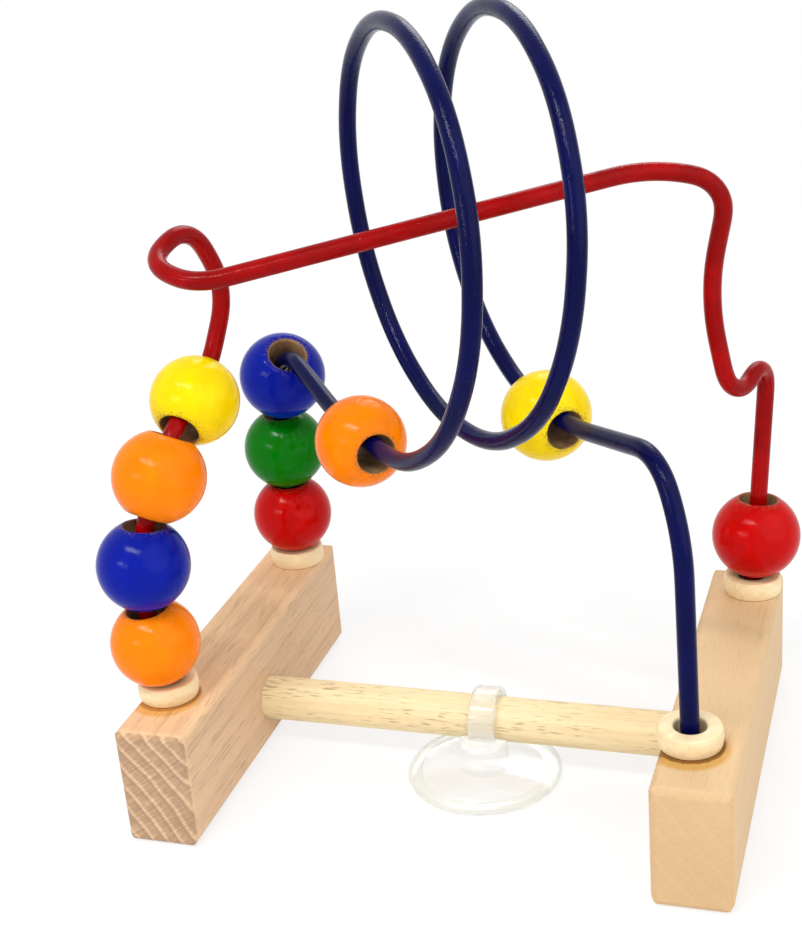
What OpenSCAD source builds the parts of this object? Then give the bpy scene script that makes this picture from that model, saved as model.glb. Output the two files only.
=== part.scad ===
// Bead maze: two wooden blocks joined by a dowel carry two bent, coated wires with loose wooden beads.
// Millimetres, +Z up, +X from the left block to the right one, +Y from front to back, floor at zero.

/* [Blocks] */
// Width of each block, across
block_w = 16.5; // [14:0.5:24]
// Length of each block, front to back
block_l = 95; // [85:1:130]
// Height of each block
block_h = 27.5; // [22:0.5:40]
// Distance between the middles of the two blocks
block_spacing = 113.5; // [100:0.5:150]
// Rounding of the blocks' edges
block_round = 1.8; // [0.5:0.1:3]
// Rounding of the blocks' lower long edges
block_foot_round = 3.2; // [1:0.1:5]

/* [Dowel] */
// Diameter of the cross dowel
dowel_d = 10; // [7:0.5:14]
// Height of the dowel's middle above the floor
dowel_h = 11.5; // [10:0.5:16]
// How far the dowel sits in front of the blocks' middle
dowel_forward = 2.75; // [0:0.25:10]
// Depth of the dowel's seat in each block
dowel_seat = 9; // [4:0.5:12]

/* [Wire feet] */
// Front feet, from the front end of the blocks
front_inset = 17; // [10:0.5:25]
// Back feet, from the back end of the blocks
back_inset = 10.3; // [8:0.1:20]
// How far the front feet stand left of the blocks' middle
front_left = 2.4; // [0:0.1:4]
// How far the back feet stand right of the blocks' middle
back_right = 2.1; // [0:0.1:4]
// Depth of the drilled seats in the blocks
foot_depth = 14; // [8:0.5:20]

/* [Collars] */
// Outer diameter of the wooden collars
collar_d = 13.3; // [11:0.1:16]
// Hole of the wooden collars
collar_hole_d = 6.6; // [5.8:0.1:8]
// Thickness of the wooden collars
collar_t = 4.3; // [3:0.1:6]
// How far the collars' rim bulges
collar_bulge = 0.4; // [0.2:0.1:1.2]

/* [Wires] */
// Diameter of both coated wires
wire_d = 3.9; // [3.2:0.1:4.2]
// Smallest bends of the red wire
red_bend_r = 8; // [5:0.5:12]

/* [Coil of the blue wire] */
// Radius of the coil, to the middle of the wire
coil_r = 43.4; // [35:0.5:50]
// Advance of the coil in each turn
coil_pitch = 20.3; // [12:0.1:26]
// Number of turns
coil_turns = 2; // [1:1:3]
// How far the coil's axis turns from the dowel's direction
coil_turned = 39.5; // [30:0.5:50]
// Middle of the coil, to the right of the maze's middle
coil_right = 2.4; // [-10:0.2:10]
// Middle of the coil, behind the maze's middle
coil_back = 3.3; // [-10:0.1:10]
// Lowest point of the coil above the blocks
coil_lift = 51; // [40:0.5:70]
// How far the coil's last turn swings out along the axis
coil_swing = 2.6; // [0:0.1:4]
// Level stretch that leads into the coil
lead_in = 25; // [20:0.5:30]
// Level stretch that leads out of the coil
lead_out = 12; // [8:0.5:20]
// Corner over the back left foot, above the block
back_corner_h = 61; // [56:0.5:66]
// Bend over the back left foot
back_bend_r = 13.5; // [10:0.5:14]
// Corner over the front right foot, above the block
front_corner_h = 58.5; // [54:0.5:64]
// Bend over the front right foot
front_bend_r = 16; // [10:0.5:18]
// Slight bend lower on the front right leg, above the block
front_knee_h = 43.5; // [36:0.5:48]

/* [Beads] */
// Diameter of a usual bead
bead_d = 20; // [17:0.1:21]
// Diameter of the two smallest beads
small_bead_d = 19.4; // [16.5:0.1:20]
// Diameter of the largest bead
large_bead_d = 20.6; // [18:0.1:22]
// Bore of the beads
bore_d = 8.6; // [8.3:0.1:9]
// Bevel at the mouths of the bore
bore_bevel = 0.7; // [0.3:0.1:1.2]
// Bevel at the mouths of the bead that sits on the tight bend
bend_bevel = 1.7; // [1.4:0.1:2.2]

/* [Suction cup] */
// Diameter of the suction cup
cup_d = 34.6; // [28:0.2:40]
// Width of the cup's thick rim
cup_rim_w = 2.9; // [2:0.1:4]
// Thickness of the cup's rim
cup_rim_t = 2; // [1.4:0.1:3]
// Thickness of the cup's web inside the rim
cup_web_t = 1.3; // [0.8:0.1:2]
// Depth of the hollow under the cup
cup_hollow = 1.2; // [0.5:0.1:2]
// Diameter of the cup's hub
hub_d = 11; // [8:0.2:14]
// Width of the strap that goes round the dowel
strap_w = 6; // [4:0.2:9]
// Thickness of the strap
strap_t = 1.8; // [1.2:0.1:2.4]
// Place of the cup, to the right of the maze's middle
cup_right = 4.6; // [-25:0.2:25]
// How far the cup sits in front of the dowel
cup_forward = 5; // [0:0.2:6]

/* [Hidden] */
$fn = 64;

// Glue gap round a wire foot, and round the dowel
glue_gap = 0.1;
// Gap between stacked beads, and under the lowest one
bead_gap = 0.05;
// Gap between the two lowest beads of the front stack, whose bores tilt apart a little
low_gap = 0.85;
// Extra room between beads whose bores tilt apart: on the bow, and where the wire leans back
bow_gap = 1.55;
lean_gap = 3;
// Room kept between a hanging bead's bore and its wire
hang_gap = 0.6;
// Room between the cup's strap and the dowel
strap_gap = 0.3;
// Bends come out a little thicker than the runs between them
bend_swell = 0.01;
// Length by which a run reaches into the bends at its ends
run_lap = 0.25;
// Stretch of wire that turns a bead, as a share of the bead's half length
axis_share = 1.15;
// Most of a leg that the bend at one of its ends may take
reach_share = 0.46;
// Corners in each turn of the coil
coil_corners = 12;
// Widest bends, at the ends of the coil's level stretches
lead_bend_r = 60;
// Bend of the knee in the front right leg
knee_bend_r = 40;
// How far the front right wire has come towards the coil, at its upper bend and at the slight one
front_lean_share = 0.18;
knee_lean_share = 0.028;
// Where the coil's last turn starts to swing out, as a share of the whole coil
swing_start_share = 0.6;

// Bends of the red wire between its two feet, as shares of the way from the front left foot to the
// back right one, across, along and up to the coil's top, and of the smallest bend radius
red_bend_shares = [
    [-0.02, -0.04, 0.24, 6.4],  // bow of the front stack
    [0.045, 0.11, 0.43, 2],     // leans back
    [0.05, 0.395, 0.465, 1.6],  // turns up again
    [0.09, 0.475, 0.6, 2.2],    // rises at the back
    [0.06, 0.375, 0.72, 1],     // turns over to the front
    [0.03, 0.16, 0.685, 0.95],  // swings round to the right
    [0.135, 0.08, 0.664, 1.4],  // start of the long run through the coil
    [0.84, 0.73, 0.754, 4.6],    // crest of the run
    [0.975, 0.795, 0.726, 1.05], // shoulder
    [0.93, 0.84, 0.545, 6],     // waist of the way down
    [0.975, 0.825, 0.355, 0.7], // swings to the back
    [1.025, 1.065, 0.425, 0.6]  // turns down to the foot
];

// Places of the hanging beads, as shares of the level leg that carries each
orange_middle_share = 0.37;
yellow_right_share = 0.41;
// How far the blue bead has gone round its bend
blue_back_share = 0.36;

// Derived places
block_x = block_spacing / 2;
front_y = front_inset - block_l / 2;
back_y = block_l / 2 - back_inset;
dowel_y = -dowel_forward;
inner_gap = block_spacing - block_w;
foot_z = block_h - foot_depth;
wire_r = wire_d / 2;
bore_r = bore_d / 2;
strap_r = dowel_d / 2 + strap_gap;
coil_z = block_h + coil_lift + coil_r;
coil_top = coil_z + coil_r;

left_front = [-block_x - front_left, front_y];
left_back = [-block_x + back_right, back_y];
right_front = [block_x - front_left, front_y];
right_back = [block_x + back_right, back_y];

// Directions along the coil's axis and across it, towards the front
coil_axis = [cos(coil_turned), sin(coil_turned), 0];
coil_near = [sin(coil_turned), -cos(coil_turned), 0];
coil_mid = [coil_right, coil_back, coil_z];
coil_step = 360 / coil_corners;
coil_half = coil_axis * (coil_pitch * coil_turns / 2);
coil_floor = [0, 0, -coil_r];

// A wire's route is a list of corners, each with its bend radius. Both ends stand in the blocks, on a
// line from the leg's upper corner through the middle of the collar's underside.
function foot(p, upper) =
    let (drop = foot_depth / (upper[2] - block_h))
    [p[0] + (p[0] - upper[0]) * drop, p[1] + (p[1] - upper[1]) * drop, foot_z, 0];

red_bends = [for (b = red_bend_shares) [
    left_front[0] + b[0] * (right_back[0] - left_front[0]),
    left_front[1] + b[1] * (right_back[1] - left_front[1]),
    block_h + b[2] * (coil_top - block_h),
    b[3] * red_bend_r
]];
red_route = concat(
    [foot(left_front, red_bends[0])],
    red_bends,
    [foot(right_back, red_bends[len(red_bends) - 1])]
);

// The coil's corners stand outside its circle, so that the bends between them follow the circle.
function swing(share) =
    share < swing_start_share ? 0
        : coil_swing * sin(180 * (share - swing_start_share) / (1 - swing_start_share));
function coil_corner(i) =
    let (
        angle = coil_step * (i + 0.5) - 90,
        out = coil_r / cos(coil_step / 2),
        share = (i + 0.5) / (coil_corners * coil_turns),
        along = coil_pitch * coil_turns * share + swing(share),
        p = coil_mid - coil_half + coil_axis * along + coil_near * (out * cos(angle))
    )
    [p[0], p[1], p[2] + out * sin(angle), coil_r];

function corner(p, r) = [p[0], p[1], p[2], r];

coil_start = coil_mid - coil_half + coil_floor;
coil_end = coil_mid + coil_half + coil_floor;

back_corner = [left_back[0], left_back[1], block_h + back_corner_h, back_bend_r];
function front_leg(share, h, r) = [
    right_front[0] + share * (coil_end[0] - right_front[0]),
    right_front[1] + share * (coil_end[1] - right_front[1]),
    block_h + h,
    r
];
front_knee = front_leg(knee_lean_share, front_knee_h, knee_bend_r);

blue_route = concat(
    [
        foot(left_back, back_corner),
        back_corner,
        corner(coil_start - coil_near * lead_in, lead_bend_r)
    ],
    [for (i = [0 : coil_corners * coil_turns - 1]) coil_corner(i)],
    [
        corner(coil_end + coil_near * lead_out, lead_bend_r),
        front_leg(front_lean_share, front_corner_h, front_bend_r),
        front_knee,
        foot(right_front, front_knee)
    ]
);

// Geometry of a route: leg i runs from corner i to corner i + 1.
function unit(v) = v / norm(v);
function spot(route, i) = [route[i][0], route[i][1], route[i][2]];
function leg(route, i) = spot(route, i + 1) - spot(route, i);
function heading(route, i) = unit(leg(route, i));
function turned(route, i) = acos(heading(route, i - 1) * heading(route, i));
function is_end(route, i) = i == 0 || i == len(route) - 1;

// Length that the bend at corner i takes from each of its legs
function reach(route, i) =
    is_end(route, i) ? 0 : min(
        route[i][3] * tan(turned(route, i) / 2),
        reach_share * min(norm(leg(route, i - 1)), norm(leg(route, i)))
    );

function bend_r(route, i) = reach(route, i) / tan(turned(route, i) / 2);
function bend_start(route, i) = spot(route, i) - heading(route, i - 1) * reach(route, i);
function bend_side(route, i) =
    let (u = heading(route, i - 1), w = heading(route, i))
    unit(w - u * (u * w));
function bend_centre(route, i) = bend_start(route, i) + bend_side(route, i) * bend_r(route, i);
function bend_normal(route, i) = unit(cross(heading(route, i - 1), heading(route, i)));
function bend_length(route, i) = bend_r(route, i) * turned(route, i) * PI / 180;
function run_length(route, i) = norm(leg(route, i)) - reach(route, i) - reach(route, i + 1);

// Place on the wire's middle line at length s from the start of run i
function on_wire(route, s, i = 0) =
    let (over = s - run_length(route, i))
    over <= 0 || i == len(route) - 2
        ? spot(route, i) + heading(route, i) * (reach(route, i) + s)
        : over <= bend_length(route, i + 1)
            ? on_bend(route, i + 1, over)
            : on_wire(route, over - bend_length(route, i + 1), i + 1);

function on_bend(route, i, s) =
    let (r = bend_r(route, i), a = s / r * 180 / PI)
    bend_start(route, i) + bend_side(route, i) * (r * (1 - cos(a)))
        + heading(route, i - 1) * (r * sin(a));

// Length of wire before run i
function before_run(route, i) =
    i == 0 ? 0 : before_run(route, i - 1) + run_length(route, i - 1) + bend_length(route, i);

// A bead is threaded at length s: its bore follows the wire there and a little past its two mouths,
// and the flatter the wire lies, the lower the bead hangs.
function half_bead(d) = sqrt(d * d - bore_d * bore_d) / 2;
function bead_axis(route, s, d, share = axis_share) =
    let (span = share * half_bead(d))
    unit(on_wire(route, s + span) - on_wire(route, s - span));
function bead_mid(route, s, d) =
    (on_wire(route, s) * 2 + on_wire(route, s + half_bead(d)) + on_wire(route, s - half_bead(d))) / 4;
function hang(axis) =
    (axis * axis[2] - [0, 0, 1]) * ((1 - axis[2] * axis[2]) * (bore_r - wire_r - hang_gap));

// Lengths of wire at the beads of a stack, from the collar up
function stack_foot(route, d) =
    let (lean = acos(heading(route, 0)[2]))
    (foot_depth + collar_t + bead_gap) / cos(lean) + bore_r * tan(lean) + half_bead(d);
function stacked(s, d_below, d, gap) = s + half_bead(d_below) + half_bead(d) + gap;

orange_low_s = stack_foot(red_route, small_bead_d);
blue_front_s = stacked(orange_low_s, small_bead_d, bead_d, low_gap);
orange_high_s = stacked(blue_front_s, bead_d, bead_d, bow_gap);
yellow_left_s = stacked(orange_high_s, bead_d, small_bead_d, lean_gap);
red_back_s = stack_foot(blue_route, small_bead_d);
green_back_s = stacked(red_back_s, small_bead_d, bead_d, bead_gap);
blue_back_s = run_length(blue_route, 0) + blue_back_share * bend_length(blue_route, 1);
orange_middle_s =
    before_run(blue_route, 2) - reach(blue_route, 2)
        + orange_middle_share * norm(leg(blue_route, 2));
last_leg = len(blue_route) - 5;
yellow_right_s =
    before_run(blue_route, last_leg) - reach(blue_route, last_leg)
        + yellow_right_share * norm(leg(blue_route, last_leg));
red_length = before_run(red_route, len(red_route) - 2) + run_length(red_route, len(red_route) - 2);
// The right hand foot is the red wire's far end, so its bead is measured back from there.
right_lean = acos(-heading(red_route, len(red_route) - 2)[2]);
red_right_s =
    red_length - (foot_depth + collar_t + bead_gap) / cos(right_lean)
        - bore_r * tan(right_lean) - half_bead(bead_d);

// Shapes

module rounded_rect(w, h, r) {
    square([w - 2 * r, h], center = true);
    square([w, h - 2 * r], center = true);
    for (x = [-1, 1], y = [-1, 1])
        translate([x * (w / 2 - r), y * (h / 2 - r)]) circle(r = r);
}

// A block seen from its end: the lower corners are rounder.
module block_section() {
    square([block_w, block_h - 2 * block_foot_round], center = true);
    for (x = [-1, 1]) {
        translate([x * (block_w / 2 - block_round), block_h / 2 - block_round]) circle(r = block_round);
        translate([x * (block_w / 2 - block_foot_round), block_foot_round - block_h / 2])
            circle(r = block_foot_round);
    }
    translate([-block_w / 2 + block_round, 0]) square([block_w - 2 * block_round, block_h / 2]);
    translate([-block_w / 2, 0]) square([block_w, block_h / 2 - block_round]);
    translate([-block_w / 2 + block_foot_round, -block_h / 2])
        square([block_w - 2 * block_foot_round, block_h / 2]);
}

module block_body() {
    translate([0, 0, block_h / 2]) intersection() {
        linear_extrude(block_h, center = true) rounded_rect(block_w, block_l, block_round);
        rotate([90, 0, 0]) linear_extrude(block_l, center = true) block_section();
        rotate([90, 0, 90]) linear_extrude(block_w, center = true)
            rounded_rect(block_l, block_h, block_round);
    }
}

// A rod is turned back about its own length, so that all rods keep the same side to the right.
module rod(from, to, d) {
    v = to - from;
    turn = atan2(v[1], v[0]);
    translate(from) rotate([0, acos(v[2] / norm(v)), turn]) rotate(-turn) cylinder(d = d, h = norm(v));
}

// Drilled seat of a wire's first or last leg
module foot_seat(route, i) {
    tail = i == 0 ? spot(route, 0) : spot(route, i + 1);
    up = i == 0 ? heading(route, 0) : -heading(route, i);
    rod(tail, tail + up * (foot_depth * 2), wire_d + 2 * glue_gap);
}

module dowel_seat_cut() {
    rotate([0, 90, 0]) cylinder(d = dowel_d + 2 * glue_gap, h = inner_gap + 2 * dowel_seat, center = true);
}

module bend(route, i) {
    c = bend_centre(route, i);
    x = -bend_side(route, i);
    y = heading(route, i - 1);
    z = bend_normal(route, i);
    multmatrix([
        [x[0], y[0], z[0], c[0]],
        [x[1], y[1], z[1], c[1]],
        [x[2], y[2], z[2], c[2]],
        [0, 0, 0, 1]
    ])
        rotate_extrude(angle = turned(route, i)) translate([bend_r(route, i), 0]) circle(r = wire_r);
}

module run(route, i) {
    u = heading(route, i);
    from = reach(route, i) - (is_end(route, i) ? 0 : run_lap);
    to = reach(route, i + 1) - (is_end(route, i + 1) ? 0 : run_lap);
    rod(spot(route, i) + u * from, spot(route, i + 1) - u * to, wire_d - 2 * bend_swell);
}

module bent_wire(route) {
    for (i = [0 : len(route) - 2]) run(route, i);
    for (i = [1 : len(route) - 2]) bend(route, i);
}

module bead_body(d, bevel) {
    rotate_extrude() difference() {
        circle(d = d);
        translate([bore_r - d, -d]) square([d, 2 * d]);
        for (side = [-1, 1])
            translate([bore_r, side * half_bead(d)]) rotate(45) square(bevel, center = true);
    }
}

module bead_along(mid, axis, d, bevel = bore_bevel) {
    translate(mid) rotate([0, acos(axis[2]), atan2(axis[1], axis[0])]) bead_body(d, bevel);
}

module threaded_bead(route, s, d) {
    axis = bead_axis(route, s, d);
    bead_along(bead_mid(route, s, d) + hang(axis), axis, d);
}

// The rim of a collar is an arc whose ends lie in from its middle by the bulge.
module collar_at(p) {
    rim_r = (collar_t * collar_t / 4 + collar_bulge * collar_bulge) / (2 * collar_bulge);
    translate([p[0], p[1], block_h]) rotate_extrude() intersection() {
        translate([collar_hole_d / 2, 0]) square([collar_d - collar_hole_d, collar_t]);
        union() {
            translate([collar_d / 2 - rim_r, collar_t / 2]) circle(r = rim_r);
            square([max(wire_r, collar_d / 2 - rim_r), collar_t]);
        }
    }
}

// Sub-parts

module left_block() {
    color("burlywood") difference() {
        translate([-block_x, 0, 0]) block_body();
        foot_seat(red_route, 0);
        foot_seat(blue_route, 0);
        translate([0, dowel_y, dowel_h]) dowel_seat_cut();
    }
}

module right_block() {
    color("burlywood") difference() {
        translate([block_x, 0, 0]) block_body();
        foot_seat(red_route, len(red_route) - 2);
        foot_seat(blue_route, len(blue_route) - 2);
        translate([0, dowel_y, dowel_h]) dowel_seat_cut();
    }
}

module cross_dowel() {
    color("wheat") translate([0, dowel_y, dowel_h]) rotate([0, 90, 0])
        cylinder(d = dowel_d, h = inner_gap + 2 * dowel_seat, center = true);
}

module cup_disc() {
    rim_in = cup_d / 2 - cup_rim_w;
    rotate_extrude() polygon([
        [0, cup_hollow], [rim_in, 0], [cup_d / 2, 0], [cup_d / 2, cup_rim_t / 2],
        [cup_d / 2 - cup_rim_w / 4, cup_rim_t], [rim_in + cup_rim_w / 4, cup_rim_t],
        [rim_in, cup_web_t], [hub_d / 2, cup_hollow + cup_web_t], [hub_d / 2, dowel_h - dowel_d / 4],
        [0, dowel_h - dowel_d / 4]
    ]);
}

module suction_cup() {
    color("azure", 0.5) translate([cup_right, dowel_y, 0]) difference() {
        union() {
            translate([0, -cup_forward, 0]) cup_disc();
            translate([0, 0, dowel_h]) rotate([0, 90, 0]) cylinder(r = strap_r + strap_t, h = strap_w, center = true);
        }
        translate([0, 0, dowel_h]) rotate([0, 90, 0]) cylinder(r = strap_r, h = cup_d, center = true);
    }
}

module red_wire() {
    color("firebrick") bent_wire(red_route);
}

module blue_wire() {
    color("midnightblue") bent_wire(blue_route);
}

module collar_left_front() {
    color("moccasin") collar_at(left_front);
}

module collar_left_back() {
    color("moccasin") collar_at(left_back);
}

module collar_right_front() {
    color("moccasin") collar_at(right_front);
}

module collar_right_back() {
    color("moccasin") collar_at(right_back);
}

module bead_orange_low() {
    color("darkorange") threaded_bead(red_route, orange_low_s, small_bead_d);
}

module bead_blue_front() {
    color("royalblue") threaded_bead(red_route, blue_front_s, bead_d);
}

module bead_orange_high() {
    color("darkorange") threaded_bead(red_route, orange_high_s, bead_d);
}

module bead_yellow_left() {
    color("gold") threaded_bead(red_route, yellow_left_s, small_bead_d);
}

module bead_red_back() {
    color("crimson") threaded_bead(blue_route, red_back_s, small_bead_d);
}

module bead_green_back() {
    color("forestgreen") threaded_bead(blue_route, green_back_s, bead_d);
}

module bead_blue_back() {
    mid = bead_mid(blue_route, blue_back_s, large_bead_d);
    axis = bead_axis(blue_route, blue_back_s, large_bead_d, 1);
    color("royalblue") bead_along(mid, axis, large_bead_d, bend_bevel);
}

module bead_orange_middle() {
    color("darkorange") threaded_bead(blue_route, orange_middle_s, bead_d);
}

module bead_yellow_right() {
    color("gold") threaded_bead(blue_route, yellow_right_s, bead_d);
}

module bead_red_right() {
    color("crimson") threaded_bead(red_route, red_right_s, bead_d);
}

left_block();
right_block();
cross_dowel();
suction_cup();
red_wire();
blue_wire();
collar_left_front();
collar_left_back();
collar_right_front();
collar_right_back();
bead_orange_low();
bead_blue_front();
bead_orange_high();
bead_yellow_left();
bead_red_back();
bead_green_back();
bead_blue_back();
bead_orange_middle();
bead_yellow_right();
bead_red_right();
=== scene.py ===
"""Looks of the bead maze: beech blocks, dowel, coated wires, turned collars, painted beads, clear cup."""

import logging
import math
from dataclasses import dataclass, field
from enum import Enum
from typing import Any, ClassVar, Optional, Sequence, Union

import bpy
from mathutils import Matrix, Vector


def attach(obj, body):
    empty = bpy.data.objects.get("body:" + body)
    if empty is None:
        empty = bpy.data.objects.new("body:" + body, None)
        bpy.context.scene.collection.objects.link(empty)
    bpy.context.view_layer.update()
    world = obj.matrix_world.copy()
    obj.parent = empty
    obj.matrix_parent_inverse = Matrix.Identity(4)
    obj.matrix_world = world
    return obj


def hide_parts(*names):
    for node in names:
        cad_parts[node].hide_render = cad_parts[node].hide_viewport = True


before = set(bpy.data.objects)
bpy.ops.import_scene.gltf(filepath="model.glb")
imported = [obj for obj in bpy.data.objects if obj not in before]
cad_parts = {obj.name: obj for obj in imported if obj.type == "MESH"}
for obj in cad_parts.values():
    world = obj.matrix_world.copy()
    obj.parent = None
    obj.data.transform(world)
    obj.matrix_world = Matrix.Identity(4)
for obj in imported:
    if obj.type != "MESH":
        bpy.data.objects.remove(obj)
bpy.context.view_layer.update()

log = logging.getLogger("bead_maze")

MM = 0.001
FULL_TURN = 2 * math.pi
MERGE = 0.002 * MM
EDGE_STEPS = 6
Spot = tuple[float, float]
Place = tuple[float, float, float]
Corner = tuple[float, float, float, float]
Colour = tuple[float, float, float]


class Body(Enum):
    """The rigid bodies that pieces ride on, apart from the beads."""

    MAZE = "maze"
    CUP = "suction_cup"


class Paint(Enum):
    """Paint colours of the beads, as linear red, green and blue."""

    ORANGE = (0.91, 0.21, 0.001)
    BLUE = (0.001, 0.009, 0.28)
    YELLOW = (0.88, 0.64, 0.001)
    GREEN = (0.0006, 0.158, 0.002)
    RED = (0.50, 0.001, 0.001)

    @property
    def slot(self) -> str:
        """The paint's slot in the record."""
        return "paint_" + self.name.lower()


class Coat(Enum):
    """Colours of the wires' plastic coats, as linear red, green and blue."""

    RED = (0.30, 0.0006, 0.001)
    NAVY = (0.0006, 0.002, 0.052)


class Sock:
    """A shader value that can be used in sums and products."""

    def __init__(self, bench: "Bench", link: Any) -> None:
        """Keeps the bench that makes nodes and the socket that holds the value."""
        self.bench = bench
        self.link = link

    def _math(self, operation: str, *values: Any) -> "Sock":
        """Adds one Math node, with numbers or values in its sockets."""
        return self.bench.node("ShaderNodeMath", {"operation": operation}, dict(enumerate(values)))

    def __add__(self, other: Any) -> "Sock":
        """Sum."""
        return self._math("ADD", self, other)

    __radd__ = __add__

    def __sub__(self, other: Any) -> "Sock":
        """Difference."""
        return self._math("SUBTRACT", self, other)

    def __rsub__(self, other: Any) -> "Sock":
        """Difference from a number."""
        return self._math("SUBTRACT", other, self)

    def __mul__(self, other: Any) -> "Sock":
        """Product."""
        return self._math("MULTIPLY", self, other)

    def __truediv__(self, other: Any) -> "Sock":
        """Quotient."""
        return self._math("DIVIDE", self, other)

    def fract(self) -> "Sock":
        """Fraction part."""
        return self._math("FRACT", self)

    def root(self) -> "Sock":
        """Square root."""
        return self._math("SQRT", self)

    def hypot(self, other: "Sock") -> "Sock":
        """Distance that this value and another one at a right angle to it make."""
        return (self * self + other * other).root()

    def above(self, low: float, high: float) -> "Sock":
        """Smooth step: a mask that is 0 up to the low value and 1 from the high one."""
        return self.bench.node(
            "ShaderNodeMapRange",
            {"interpolation_type": "SMOOTHSTEP"},
            {"Value": self, "From Min": low, "From Max": high},
        )


class Bench:
    """Makes the nodes of one material, or of the world."""

    def __init__(self, tree: bpy.types.NodeTree) -> None:
        """Keeps the tree that the nodes go in."""
        self.tree = tree

    def node(
        self,
        kind: str,
        settings: Optional[dict[str, Any]] = None,
        values: Optional[dict[Any, Any]] = None,
        output: Union[int, str] = 0,
    ) -> Sock:
        """Adds any node.

        Args:
            kind: the node's type.
            settings: its properties, set first.
            values: numbers, colours or values for its sockets, by name or place.
            output: the socket that is returned.

        Returns:
            The node's output as a value.
        """
        made = self.tree.nodes.new(kind)
        for key, value in (settings or {}).items():
            setattr(made, key, value)
        for key, value in (values or {}).items():
            if isinstance(value, Sock):
                self.tree.links.new(value.link, made.inputs[key])
            else:
                made.inputs[key].default_value = value
        return Sock(self, made.outputs[output])

    def place(self) -> Sock:
        """The place on the piece, in metres."""
        return self.node("ShaderNodeTexCoord", output="Object")

    def axes(self, vector: Sock) -> tuple[Sock, Sock, Sock]:
        """Splits a vector into its three parts."""
        made = self.tree.nodes.new("ShaderNodeSeparateXYZ")
        self.tree.links.new(vector.link, made.inputs[0])
        x, y, z = (Sock(self, out) for out in made.outputs)
        return x, y, z

    def noise(self, vector: Sock, scale: float, detail: float = 2.0, rough: float = 0.5) -> Sock:
        """Soft noise.

        Args:
            vector: the place.
            scale: repeats in each unit.
            detail: finer layers.
            rough: strength of the finer layers.

        Returns:
            A value about one half.
        """
        return self.node(
            "ShaderNodeTexNoise",
            {"noise_dimensions": "3D"},
            {"Vector": vector, "Scale": scale, "Detail": detail, "Roughness": rough},
        )

    def grain(
        self, vector: Sock, scale: Place, detail: float = 2.0, rough: float = 0.5, turn: Place = (0, 0, 0)
    ) -> Sock:
        """Noise that is turned, and stretched along the axes.

        Args:
            vector: the place.
            scale: repeats in each metre along each axis.
            detail: finer layers.
            rough: strength of the finer layers.
            turn: turn about each axis, in radians.

        Returns:
            A value about one half.
        """
        turned = self.node(
            "ShaderNodeMapping", {"vector_type": "POINT"}, {"Vector": vector, "Rotation": turn}
        )
        spread = self.node("ShaderNodeVectorMath", {"operation": "MULTIPLY"}, {0: turned, 1: scale})
        return self.noise(spread, 1.0, detail, rough)

    def blend(self, mask: Any, low: Any, high: Any, how: str = "MIX") -> Sock:
        """Mixes two colours.

        Args:
            mask: the share of the second one.
            low: the first colour.
            high: the second colour.
            how: the kind of mix.

        Returns:
            The mixed colour.
        """
        low, high = (c if isinstance(c, Sock) else (*c, 1.0) for c in (low, high))
        settings = {"data_type": "RGBA", "blend_type": how}
        return self.node("ShaderNodeMix", settings, {0: mask, 6: low, 7: high}, 2)

    def bump(self, height: Sock, depth: float, strength: float) -> Sock:
        """The normal bent by a height from 0 to 1, where 1 stands for the depth in metres."""
        return self.node("ShaderNodeBump", None, {"Height": height, "Distance": depth, "Strength": strength})

    def close(self, shader: Sock) -> None:
        """Links a shader to the material's output."""
        out = self.tree.nodes.new("ShaderNodeOutputMaterial")
        self.tree.links.new(shader.link, out.inputs["Surface"])


def start_material(name: str) -> tuple[bpy.types.Material, Bench]:
    """Starts an empty node material, with the bench for its nodes."""
    material = bpy.data.materials.new(name)
    material.use_nodes = True
    material.node_tree.nodes.clear()
    return material, Bench(material.node_tree)


@dataclass(frozen=True)
class Finish:
    """One material, with the gloss of its surface and the depth and strength of its relief."""

    name: str
    gloss: ClassVar[float] = 0.35
    relief: ClassVar[Spot] = (0.07 * MM, 0.5)

    def make(self) -> bpy.types.Material:
        """Makes the material."""
        material, b = start_material(self.name)
        b.close(b.node("ShaderNodeBsdfPrincipled", None, self.sockets(b, b.place())))
        return material

    def sockets(self, b: Bench, p: Sock) -> dict[str, Any]:
        """Works out what goes into the surface shader.

        Args:
            b: the material's bench.
            p: the place on the piece.

        Returns:
            Numbers, colours or values by socket.
        """
        raise NotImplementedError

    def skin(self, b: Bench, colour: Sock, rough: Sock, height: Sock) -> dict[str, Any]:
        """Sockets of a plain surface, with the height of its relief from 0 to 1."""
        return {
            "Base Color": colour,
            "Roughness": rough,
            "Specular IOR Level": self.gloss,
            "Normal": b.bump(height, *self.relief),
        }


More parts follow.
